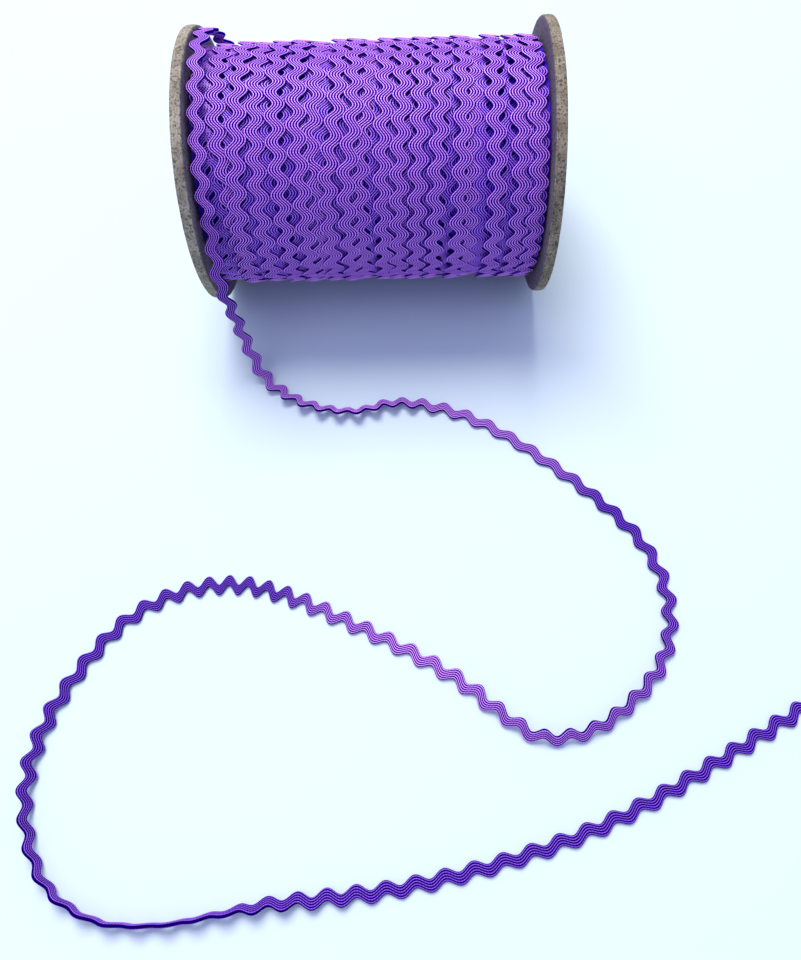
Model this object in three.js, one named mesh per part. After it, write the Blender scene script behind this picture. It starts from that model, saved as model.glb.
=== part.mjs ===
// A roll of ric rac: two board flanges with a full winding of wavy braid between them.
// The last turn comes loose at the back, lifts over the top and runs down to a long free end.
// Millimetres. X is the spool's axis, -Y the side where the end comes off, +Z is up, and z = 0 is the table.

import * as THREE from 'three';

const SPOOL_LENGTH = 102;
const FLANGE_DIAMETER = 76.2;
const FLANGE_THICKNESS = 3.2;
const FLAT_SPOT_WIDTH = 10;
const FLANGE_ARC_SIDES = 72;
const CLEARANCE = 0.3;

const WINDING_DIAMETER = 66.4;
const TURNS = 18.4;
const GROOVE_DEPTH = 1.2;
const RINGS_PER_TURN = 5;
const WINDING_SIDES = 36;

const BAND_WIDTH = 3.1;
const BAND_THICKNESS = 1.2;
const BAND_EDGE = 0.45;
const BRAID_PER_WAVE = 8.3;
const WOUND_WAVE = 6.9;
const WAVE_STEPS = 5;
const EDGE_LEAN = 0.5;
const EDGE_CROWDING = 0.75;
const FACE_TURN = 6;
const TABLE_GAP = 0.1;
const CURVE_DIVISIONS = 4000;

const FLANGE_RADIUS = FLANGE_DIAMETER / 2;
const AXIS_HEIGHT = Math.sqrt(FLANGE_RADIUS ** 2 - (FLAT_SPOT_WIDTH / 2) ** 2);
const FLANGE_INNER = SPOOL_LENGTH / 2 - FLANGE_THICKNESS;
const WINDING_LENGTH = 2 * (FLANGE_INNER - CLEARANCE);
const WINDING_RADIUS = WINDING_DIAMETER / 2;
const LYING_RADIUS = WINDING_RADIUS + CLEARANCE + BAND_THICKNESS / 2;

// The last turn, from the back of the roll to the place where it leaves the front.
// Each row: degrees up from the front, height over where it would lie, x.
const LAST_TURN = [
  [180, 0, -38.6],
  [164, 0.1, -40.6],
  [153, 0.9, -42.6],
  [146, 1.5, -43.7],
  [137, 2.1, -44.6],
  [127, 2.5, -44.9],
  [116, 2.8, -44.9],
  [105, 2.8, -44.9],
  [93, 2.3, -44.9],
  [80, 1.0, -44.9],
  [68, 0.2, -44.9],
  [52, 0, -44.9],
  [38, 0, -44.8],
];

// The free end, from the exit to its cut end. It is stretched in some places and bunched in others.
// Each row: x, y, height over where it would lie, roll in degrees with the right-hand edge up, wave length.
const TAIL = [
  [-44.5, -31.0, 51.6, 0, 7.0],
  [-44.2, -37.4, 42.2, 0, 7.3],
  [-44.0, -41.4, 33.6, 0, 7.4],
  [-42.6, -43.2, 23.0, 0, 7.4],
  [-41.1, -45.3, 12.3, 2, 7.4],
  [-38.3, -49.7, 3.8, 6, 7.2],
  [-34.3, -54.2, 0, 16, 6.6],
  [-23.7, -61.5, 0, 36, 5.8],
  [-8.8, -64.9, 0, 45, 5.6],
  [4.5, -62.0, 0, 33, 5.9],
  [21.6, -64.7, 0, 4, 7.2],
  [42.5, -76.6, 0, 0, 7.8],
  [74.8, -108.3, 0, 0, 7.5],
  [80.1, -127.0, 0, 6, 7.0],
  [76.2, -142.5, 0, 18, 6.8],
  [65.1, -154.6, 0, 32, 6.9],
  [53.2, -161.3, 0, 40, 6.9],
  [41.3, -162.0, 0, 44, 6.9],
  [31.9, -156.1, 0, 32, 6.9],
  [21.3, -147.3, 0, 5, 7.0],
  [5.2, -137.8, 0, 0, 7.0],
  [-11.5, -129.5, 0, 0, 6.5],
  [-27.2, -122.6, 0, 0, 5.6],
  [-40.7, -119.4, 0, 0, 5.5],
  [-55.7, -120.9, 0, 0, 6.2],
  [-70.5, -128.4, 0, 0, 6.9],
  [-82.5, -142.7, 0, 6, 7.2],
  [-89.4, -156.9, 0, 20, 7.0],
  [-91.5, -169.0, 0, 44, 6.9],
  [-89.8, -181.5, 0, 66, 7.1],
  [-82.6, -195.2, 0, 77, 7.1],
  [-69.8, -203.0, 0, 88, 7.1],
  [-54.3, -204.3, 0, 90, 7.1],
  [-40.0, -202.2, 0, 80, 7.1],
  [-27.5, -200.1, 0, 48, 7.1],
  [-13.7, -199.0, 0, 18, 7.2],
  [4.5, -197.0, 0, 0, 7.4],
  [33.1, -190.8, 0, 0, 7.5],
  [61.3, -181.2, 0, 0, 7.4],
  [119.6, -151.4, 0, 0, 6.9],
];

// How high a wave stands when a fixed length of braid is drawn out or bunched to this wave length.
function waveHeight(wave) {
  const ratio = BRAID_PER_WAVE / wave;
  return (wave / (2 * Math.PI)) * Math.sqrt(2 * (ratio ** 2 - 1));
}

// How far the braid's middle lies over the table when its right-hand edge is rolled up.
function lyingHeight(roll, wave) {
  const side = (waveHeight(wave) + BAND_WIDTH / 2) * Math.abs(Math.sin(roll));
  const back = (BAND_THICKNESS / 2) * Math.abs(Math.cos(roll));
  return side + back + TABLE_GAP;
}

function outwardAt(degrees) {
  const angle = THREE.MathUtils.degToRad(degrees);
  return new THREE.Vector3(0, -Math.cos(angle), Math.sin(angle));
}

// The stops of the braid's route. Each has the foot under its middle, the way its face looks, roll and wave.
function routeStops() {
  const wound = LAST_TURN.map(([degrees, lift, x]) => {
    const facing = outwardAt(degrees);
    const foot = facing.clone().multiplyScalar(LYING_RADIUS + lift);
    foot.add(new THREE.Vector3(x, 0, AXIS_HEIGHT - lyingHeight(0, WOUND_WAVE)));
    return { foot, facing, roll: 0, wave: WOUND_WAVE };
  });
  const free = TAIL.map(([x, y, lift, degrees, wave]) => {
    const facing = new THREE.Vector3(0, -lift, FACE_TURN).normalize();
    return { foot: new THREE.Vector3(x, y, lift), facing, roll: THREE.MathUtils.degToRad(degrees), wave };
  });
  return wound.concat(free);
}

// The braid's frames along one smooth curve through the stops, a few to each wave.
function braidFrames(stops) {
  const curve = new THREE.CatmullRomCurve3(stops.map((stop) => stop.foot), false, 'centripetal');
  curve.arcLengthDivisions = CURVE_DIVISIONS;
  const length = curve.getLength();
  const frames = [];
  let distance = 0;
  let turns = 0;
  while (distance < length) {
    const t = curve.getUtoTmapping(distance / length);
    const place = t * (stops.length - 1);
    const before = stops[Math.min(Math.floor(place), stops.length - 2)];
    const after = stops[Math.min(Math.floor(place) + 1, stops.length - 1)];
    const share = THREE.MathUtils.smoothstep(place - Math.floor(place), 0, 1);
    const roll = THREE.MathUtils.lerp(before.roll, after.roll, share);
    const wave = THREE.MathUtils.lerp(before.wave, after.wave, share);
    const middle = curve.getPoint(t);
    middle.z = Math.max(middle.z, 0) + lyingHeight(roll, wave);
    const along = curve.getTangent(t);
    const up = before.facing.clone().lerp(after.facing, share);
    up.addScaledVector(along, -up.dot(along)).normalize();
    up.applyAxisAngle(along, -roll);
    const across = along.clone().cross(up);
    frames.push({ middle, along, across, up, turns, wave, place });
    distance += wave / WAVE_STEPS;
    turns += 1 / WAVE_STEPS;
  }
  return frames;
}

// The corners of the flat band's section at one frame, clockwise as seen looking along it.
function sectionAt({ middle, along, across, up, turns, wave }) {
  const phase = 2 * Math.PI * turns;
  const rate = (2 * Math.PI) / wave;
  const height = waveHeight(wave);
  const half = BAND_WIDTH / 2;
  const crowding = EDGE_CROWDING / (half * height * rate ** 2);
  const lean = Math.min(EDGE_LEAN, crowding) * Math.sin(Math.atan(height * rate * Math.cos(phase)));
  const side = across.clone().multiplyScalar(Math.sqrt(1 - lean ** 2)).addScaledVector(along, -lean);
  const centre = middle.clone().addScaledVector(across, height * Math.sin(phase));
  const flat = half - BAND_EDGE;
  const thick = BAND_THICKNESS / 2;
  const corners = [
    [-half, 0],
    [-flat, thick],
    [flat, thick],
    [half, 0],
    [flat, -thick],
    [-flat, -thick],
  ];
  const ring = corners.map(([u, v]) => centre.clone().addScaledVector(side, u).addScaledVector(up, v));
  return { centre, ring };
}

function geometryFrom(points, faces) {
  const geometry = new THREE.BufferGeometry().setFromPoints(points);
  geometry.setIndex(faces.flat());
  geometry.computeVertexNormals();
  return geometry;
}

// A closed skin over rings of equally many points, with a fan over each end.
function skinOver(sections) {
  const sides = sections[0].ring.length;
  const points = sections.flatMap(({ ring }) => ring);
  const first = points.push(sections[0].centre) - 1;
  const last = points.push(sections[sections.length - 1].centre) - 1;
  const faces = [];
  for (let row = 0; row + 1 < sections.length; row += 1) {
    for (let side = 0; side < sides; side += 1) {
      const next = (side + 1) % sides;
      const a = row * sides + side;
      const b = row * sides + next;
      faces.push([a, b, b + sides], [a, b + sides, a + sides]);
    }
  }
  const end = (sections.length - 1) * sides;
  for (let side = 0; side < sides; side += 1) {
    const next = (side + 1) % sides;
    faces.push([first, next, side], [last, end + side, end + next]);
  }
  return geometryFrom(points, faces);
}

// The wound braid as one solid, with a shallow groove between each turn and the next.
function windingGeometry() {
  const pitch = WINDING_LENGTH / TURNS;
  const rings = Math.round(TURNS * RINGS_PER_TURN);
  const sections = [];
  for (let row = 0; row <= rings; row += 1) {
    const x = WINDING_LENGTH * (row / rings - 0.5);
    const ring = [];
    for (let side = 0; side < WINDING_SIDES; side += 1) {
      const turned = side / WINDING_SIDES;
      const phase = 2 * Math.PI * (x / pitch - turned);
      const radius = WINDING_RADIUS - (GROOVE_DEPTH * (1 - Math.cos(phase))) / 2;
      const point = outwardAt(-360 * turned).multiplyScalar(radius);
      ring.push(point.add(new THREE.Vector3(x, 0, AXIS_HEIGHT)));
    }
    sections.push({ centre: new THREE.Vector3(x, 0, AXIS_HEIGHT), ring });
  }
  return skinOver(sections);
}

// A board disc that stands on a short flat at the bottom of its rim.
function flangeGeometry(innerX) {
  const flatAngle = Math.asin(FLAT_SPOT_WIDTH / 2 / FLANGE_RADIUS);
  const outline = new THREE.Shape();
  outline.absarc(0, 0, FLANGE_RADIUS, flatAngle - Math.PI / 2, 1.5 * Math.PI - flatAngle, false);
  outline.closePath();
  const disc = new THREE.ExtrudeGeometry(outline, {
    depth: FLANGE_THICKNESS,
    bevelEnabled: false,
    curveSegments: FLANGE_ARC_SIDES,
  });
  disc.rotateX(Math.PI / 2);
  disc.rotateZ(Math.PI / 2);
  disc.translate(innerX, 0, AXIS_HEIGHT);
  return disc;
}

function part(name, geometry, color, roughness) {
  const mesh = new THREE.Mesh(geometry, new THREE.MeshStandardMaterial({ color, roughness }));
  mesh.name = name;
  return mesh;
}

const frames = braidFrames(routeStops());
const exitIndex = frames.findIndex((frame) => frame.place >= LAST_TURN.length);
const woundFrames = frames.slice(0, exitIndex + 1);
const freeFrames = frames.slice(exitIndex);
const exitFrame = freeFrames[0];
freeFrames[0] = {
  ...exitFrame,
  middle: exitFrame.middle.clone().addScaledVector(exitFrame.along, CLEARANCE),
};

const root = new THREE.Group();
root.name = 'roll_of_ric_rac';
root.add(part('flange_left', flangeGeometry(-SPOOL_LENGTH / 2), 0x9a9284, 0.9));
root.add(part('flange_right', flangeGeometry(FLANGE_INNER), 0x8c8068, 0.9));
root.add(part('winding', windingGeometry(), 0x8c50cf, 0.8));
root.add(part('last_turn', skinOver(woundFrames.map(sectionAt)), 0x9458d8, 0.8));
root.add(part('tail', skinOver(freeFrames.map(sectionAt)), 0x5a22b0, 0.8));

export default root;
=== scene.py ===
"""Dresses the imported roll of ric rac: two board flanges, the wound braid, its last turn and the free end."""

import logging
import math
from collections.abc import Sequence
from dataclasses import dataclass, field
from enum import Enum

import bpy
import numpy as np
from mathutils import Matrix, Vector


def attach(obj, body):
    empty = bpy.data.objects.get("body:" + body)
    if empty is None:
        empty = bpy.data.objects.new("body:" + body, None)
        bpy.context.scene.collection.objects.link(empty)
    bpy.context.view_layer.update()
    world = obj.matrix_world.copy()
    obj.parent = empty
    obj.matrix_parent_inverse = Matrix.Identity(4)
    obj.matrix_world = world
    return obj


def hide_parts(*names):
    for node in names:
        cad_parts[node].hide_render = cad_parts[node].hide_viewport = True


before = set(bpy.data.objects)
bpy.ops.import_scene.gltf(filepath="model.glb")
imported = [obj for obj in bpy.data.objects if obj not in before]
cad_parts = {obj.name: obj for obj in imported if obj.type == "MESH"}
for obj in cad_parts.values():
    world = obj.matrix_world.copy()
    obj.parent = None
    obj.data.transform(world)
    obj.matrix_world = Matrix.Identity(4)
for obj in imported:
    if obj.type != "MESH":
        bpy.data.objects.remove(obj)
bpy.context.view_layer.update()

log = logging.getLogger("roll_of_ric_rac")

MM = 0.001
FULL_TURN = 360.0

# The spool, as in the part's source, in millimetres.
FLANGE_RADIUS = 38.1
FLANGE_THICKNESS = 3.2
FLANGE_INNER = 47.8
FLAT_SPOT_WIDTH = 10.0
AXIS_HEIGHT = math.sqrt(FLANGE_RADIUS**2 - (FLAT_SPOT_WIDTH / 2) ** 2)
WINDING_RADIUS = 33.2

# The braid, as in the part's source, in millimetres.
BAND_WIDTH = 3.1
BAND_THICKNESS = 1.2
BRAID_PER_WAVE = 8.3
WOUND_WAVE = 6.9
FACE_TURN = 6.0
TABLE_GAP = 0.1
CLEARANCE = 0.3
LYING_RADIUS = WINDING_RADIUS + CLEARANCE + BAND_THICKNESS / 2

# The braid's finer form: its cords, the cross stitches of one wave, how far they lean over on the slopes
# of a wave, and how close they may crowd at the inside of a bend.
CORDS = 5
STITCHES_PER_WAVE = 11
EDGE_LEAN = 0.1
EDGE_CROWDING = 0.75

# The braid's colours as lit on the roll: a cord's ridge, painted as a highlight, its body, and its valley,
# painted as shade, then the ridge and body where the dye is paler.
VIOLET = ("#ffa8ff", "#5404c4", "#080080", "#f09cff", "#4c02b8")

# The last turn, from the back of the roll to the place where it leaves the front.
# Each row: degrees up from the front, height over where it would lie, x.
LAST_TURN = [
    (180, 0, -38.6), (164, 0.1, -40.6), (153, 0.9, -42.6), (146, 1.5, -43.7), (137, 2.1, -44.6),
    (127, 2.5, -44.9), (116, 2.8, -44.9), (105, 2.8, -44.9), (93, 2.3, -44.9), (80, 1.0, -44.9),
    (68, 0.2, -44.9), (52, 0, -44.9), (38, 0, -44.8),
]

# The free end, from the exit to its cut end.
# Each row: x, y, height over where it would lie, roll in degrees with the right-hand edge up, wave length.
TAIL = [
    (-44.5, -31.0, 51.6, 0, 7.0), (-44.2, -37.4, 42.2, 0, 7.3), (-44.0, -41.4, 33.6, 0, 7.4),
    (-42.6, -43.2, 23.0, 0, 7.4), (-41.1, -45.3, 12.3, 2, 7.4), (-38.3, -49.7, 3.8, 6, 7.2),
    (-34.3, -54.2, 0, 16, 6.6), (-23.7, -61.5, 0, 36, 5.8), (-8.8, -64.9, 0, 45, 5.6),
    (4.5, -62.0, 0, 33, 5.9), (21.6, -64.7, 0, 4, 7.2), (42.5, -76.6, 0, 0, 7.8),
    (74.8, -108.3, 0, 0, 7.5), (80.1, -127.0, 0, 6, 7.0), (76.2, -142.5, 0, 18, 6.8),
    (65.1, -154.6, 0, 32, 6.9), (53.2, -161.3, 0, 40, 6.9), (41.3, -162.0, 0, 44, 6.9),
    (31.9, -156.1, 0, 32, 6.9), (21.3, -147.3, 0, 5, 7.0), (5.2, -137.8, 0, 0, 7.0),
    (-11.5, -129.5, 0, 0, 6.5), (-27.2, -122.6, 0, 0, 5.6), (-40.7, -119.4, 0, 0, 5.5),
    (-55.7, -120.9, 0, 0, 6.2), (-70.5, -128.4, 0, 0, 6.9), (-82.5, -142.7, 0, 6, 7.2),
    (-89.4, -156.9, 0, 20, 7.0), (-91.5, -169.0, 0, 44, 6.9), (-89.8, -181.5, 0, 66, 7.1),
    (-82.6, -195.2, 0, 77, 7.1), (-69.8, -203.0, 0, 88, 7.1), (-54.3, -204.3, 0, 90, 7.1),
    (-40.0, -202.2, 0, 80, 7.1), (-27.5, -200.1, 0, 48, 7.1), (-13.7, -199.0, 0, 18, 7.2),
    (4.5, -197.0, 0, 0, 7.4), (33.1, -190.8, 0, 0, 7.5), (61.3, -181.2, 0, 0, 7.4),
    (119.6, -151.4, 0, 0, 6.9),
]

# The top layer on the front of the roll, one row a turn, from the right flange to the left one.
# Each row: x at the three ROW_ANGLES, the angle of a right-hand crest, how far the turn is lifted.
TOP_TURNS = [
    (43.5, 44.3, 44.5, 58.3, 0.1), (39.3, 39.7, 40.0, 57.4, -0.1), (33.0, 33.2, 33.6, 57.0, 0.2),
    (27.2, 26.5, 26.3, 52.7, -0.5), (24.9, 24.5, 24.0, 58.1, 0.2), (19.0, 18.3, 17.5, 58.7, 0.0),
    (13.8, 13.0, 12.4, 57.9, 0.1), (9.0, 8.1, 7.5, 57.9, 0.0), (4.4, 3.5, 3.2, 55.7, 0.1),
    (-0.3, -1.9, -3.1, 54.2, -0.45), (-3.6, -4.9, -6.6, 59.2, 0.2), (-8.1, -9.8, -11.6, 57.4, 0.1),
    (-14.0, -15.7, -14.6, 53.3, -0.45), (-19.0, -19.0, -18.5, 56.6, 0.2), (-24.7, -24.6, -24.2, 49.6, 0.0),
    (-29.8, -30.1, -30.2, 54.4, -0.2), (-34.6, -35.1, -36.0, 57.0, 0.2), (-40.3, -39.8, -38.2, 60.6, -0.4),
]
# Degrees up from the front.
ROW_ANGLES = (75.0, 55.0, 35.0)

# What the braid's line carries for the geometry tree: its directions, and its numbers with their units.
FRAME_KEYS = ("along", "across", "up")
RUN_UNITS = {"turns": 1.0, "wave": MM, "swing": MM}

# The colour sockets of a Mix node, whose names its other sockets share.
MIX_FIRST, MIX_SECOND, MIX_RESULT = 6, 7, 2


class Side(Enum):
    """Which end of the spool a flange is on; the value is the sign of its x."""

    LEFT = -1
    RIGHT = 1


class Depth(Enum):
    """How deep in the winding a braid lies; the value counts the layers over it."""

    TOP = 0
    SECOND = 1
    THIRD = 2


def linear(code: str) -> tuple[float, float, float, float]:
    """Turns an sRGB hex colour into a linear one.

    Args:
        code: six hex digits after a #.

    Returns:
        Red, green, blue and an alpha of 1.
    """
    parts = [int(code[i : i + 2], 16) / 255 for i in (1, 3, 5)]
    return tuple(p / 12.92 if p <= 0.04045 else ((p + 0.055) / 1.055) ** 2.4 for p in parts) + (1.0,)


def add(
    tree: bpy.types.NodeTree, kind: str, inputs: dict | None = None, **settings: object
) -> bpy.types.Node:
    """Adds one node with its settings, and sets or links its inputs.

    Args:
        tree: the node tree that gets the node.
        kind: the node's type name.
        inputs: input name or index to a value, or to the output socket that it is linked from.
        settings: properties of the node itself.

    Returns:
        The new node.
    """
    node = tree.nodes.new(kind)
    for name, value in settings.items():
        setattr(node, name, value)
    for key, value in (inputs or {}).items():
        if isinstance(value, bpy.types.NodeSocket):
            tree.links.new(value, node.inputs[key])
        else:
            node.inputs[key].default_value = value
    return node


def math_chain(tree: bpy.types.NodeTree, start: object, *steps: tuple) -> bpy.types.NodeSocket:
    """Runs a value through several Math nodes in a row.

    Args:
        tree: the node tree that gets the nodes.
        start: the first value or socket.
        steps: each an operation's name and, where it takes one, a second value or socket.

    Returns:
        The last node's output.
    """
    value = start
    for operation, *others in steps:
        inputs = {0: value} | {i + 1: other for i, other in enumerate(others)}
        value = add(tree, "ShaderNodeMath", inputs, operation=operation).outputs[0]
    return value


def new_material(name: str) -> tuple[bpy.types.Material, bpy.types.NodeTree, bpy.types.Node]:
    """Makes an empty material with a Principled shader on its output.

    Args:
        name: the material's name.

    Returns:
        The material, its tree and the shader node.
    """
    material = bpy.data.materials.new(name)
    material.use_nodes = True
    tree = material.node_tree
    tree.nodes.clear()
    shader = add(tree, "ShaderNodeBsdfPrincipled")
    add(tree, "ShaderNodeOutputMaterial", {"Surface": shader.outputs[0]})
    return material, tree, shader


def mesh_object(name: str, points: np.ndarray, faces: Sequence, edges: Sequence = ()) -> bpy.types.Object:
    """Makes a mesh object at the origin, unturned, from points in metres.

    Args:
        name: the object's name.
        points: one row of x, y, z a point.
        faces: tuples of point numbers.
        edges: pairs of point numbers, for a line without faces.

    Returns:
        The object, linked to the scene.
    """
    mesh = bpy.data.meshes.new(name)
    mesh.from_pydata(np.asarray(points).tolist(), list(edges), list(faces))
    made = bpy.data.objects.new(name, mesh)
    bpy.context.scene.collection.objects.link(made)
    return made


def level_curve(at: np.ndarray, knots: np.ndarray, values: np.ndarray) -> np.ndarray:
    """Runs a smooth cubic curve through values at uneven knots, level where it turns back.

    Args:
        at: where the curve is read, in any order.
        knots: rising places of the values.
        values: one value a knot.

    Returns:
        The curve's value at each place.
    """
    widths = np.diff(knots)
    slopes = np.diff(values) / widths
    tangents = np.concatenate([slopes[:1], (slopes[:-1] + slopes[1:]) / 2, slopes[-1:]])
    tangents[1:-1][slopes[:-1] * slopes[1:] <= 0] = 0
    limit = 2 * np.minimum(np.abs(np.r_[slopes[:1], slopes]), np.abs(np.r_[slopes, slopes[-1:]]))
    tangents = np.clip(tangents, -limit, limit)
    at = np.clip(at, knots[0], knots[-1])
    i = np.clip(np.searchsorted(knots, at) - 1, 0, len(widths) - 1)
    t, width = (at - knots[i]) / widths[i], widths[i]
    rise = values[i] * (2 * t**3 - 3 * t**2 + 1) + values[i + 1] * (3 * t**2 - 2 * t**3)
    return rise + width * (tangents[i] * (t**3 - 2 * t**2 + t) + tangents[i + 1] * (t**3 - t**2))


def unit(rows: np.ndarray) -> np.ndarray:
    """Scales each row to length 1."""
    return rows / np.linalg.norm(rows, axis=-1, keepdims=True)


def outward(degrees: np.ndarray) -> np.ndarray:
    """The directions away from the spool's axis, at angles up from the front."""
    angle = np.radians(degrees)
    return np.stack([np.zeros_like(angle), -np.cos(angle), np.sin(angle)], axis=-1)


def eased(share: np.ndarray) -> np.ndarray:
    """A share from 0 to 1 that starts and ends level."""
    return share**2 * (3 - 2 * share)


def closed_rings(rings: int, sides: int) -> list[tuple[int, ...]]:
    """The faces of a closed shape of rings of points, followed by one pole for each end.

    Args:
        rings: how many rings there are.
        sides: points a ring.

    Returns:
        The faces, as point numbers.
    """
    faces = []
    end, poles = (rings - 1) * sides, rings * sides
    for j in range(sides):
        k = (j + 1) % sides
        faces += [(row + j, row + k, row + sides + k, row + sides + j) for row in range(0, end, sides)]
        faces += [(poles, k, j), (poles + 1, end + j, end + k)]
    return faces


def braid_sizes(width: float, thickness: float, cord_depth: float, face: int, back: int) -> dict[str, float]:
    """The braid tree's inputs by name.

    Args:
        width: of the band, in mm.
        thickness: of the band, in mm.
        cord_depth: how deep it is grooved between two cords, as a share of its thickness.
        face: steps across its face.
        back: steps across its back.

    Returns:
        One value an input.
    """
    return {
        "Band Width": width * MM,
        "Band Thickness": thickness * MM,
        "Cords": float(CORDS),
        "Cord Depth": cord_depth,
        "Edge Lean": EDGE_LEAN,
        "Edge Crowding": EDGE_CROWDING,
        "Face Steps": face,
        "Back Steps": back,
    }


def wave_height(wave: np.ndarray) -> np.ndarray:
    """How far a wave stands, in mm, when a fixed length of braid is drawn out or bunched to its length."""
    return wave / (2 * math.pi) * np.sqrt(2 * ((BRAID_PER_WAVE / wave) ** 2 - 1))


def lying_height(roll: np.ndarray, wave: np.ndarray) -> np.ndarray:
    """How far the braid's middle lies over the table when its right-hand edge is rolled up, in mm."""
    side = (wave_height(wave) + BAND_WIDTH / 2) * np.abs(np.sin(roll))
    return side + BAND_THICKNESS / 2 * np.abs(np.cos(roll)) + TABLE_GAP


@dataclass
class Route:
    """The way of a stretch of braid: one row a step, lengths in mm."""

    middle: np.ndarray
    along: np.ndarray
    across: np.ndarray
    up: np.ndarray
    turns: np.ndarray
    wave: np.ndarray
    swing: np.ndarray

    def part(self, first: int, last: int) -> "Route":
        """The steps from first up to last."""
        return Route(*(getattr(self, name)[first:last] for name in self.__dataclass_fields__))

    def line(self, name: str) -> bpy.types.Object:
        """Makes the line that the braid tree reads, with its frames as attributes, in metres.

        Args:
            name: the object's name.

        Returns:
            A mesh of points and edges.
        """
        count = len(self.turns)
        made = mesh_object(name, self.middle * MM, [], [(i, i + 1) for i in range(count - 1)])
        for key in FRAME_KEYS:
            values = getattr(self, key).astype(np.float32)
            made.data.attributes.new(key, "FLOAT_VECTOR", "POINT").data.foreach_set("vector", values.ravel())
        for key, scale in RUN_UNITS.items():
            values = (getattr(self, key) * scale).astype(np.float32)
            made.data.attributes.new(key, "FLOAT", "POINT").data.foreach_set("value", values)
        return made


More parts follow.
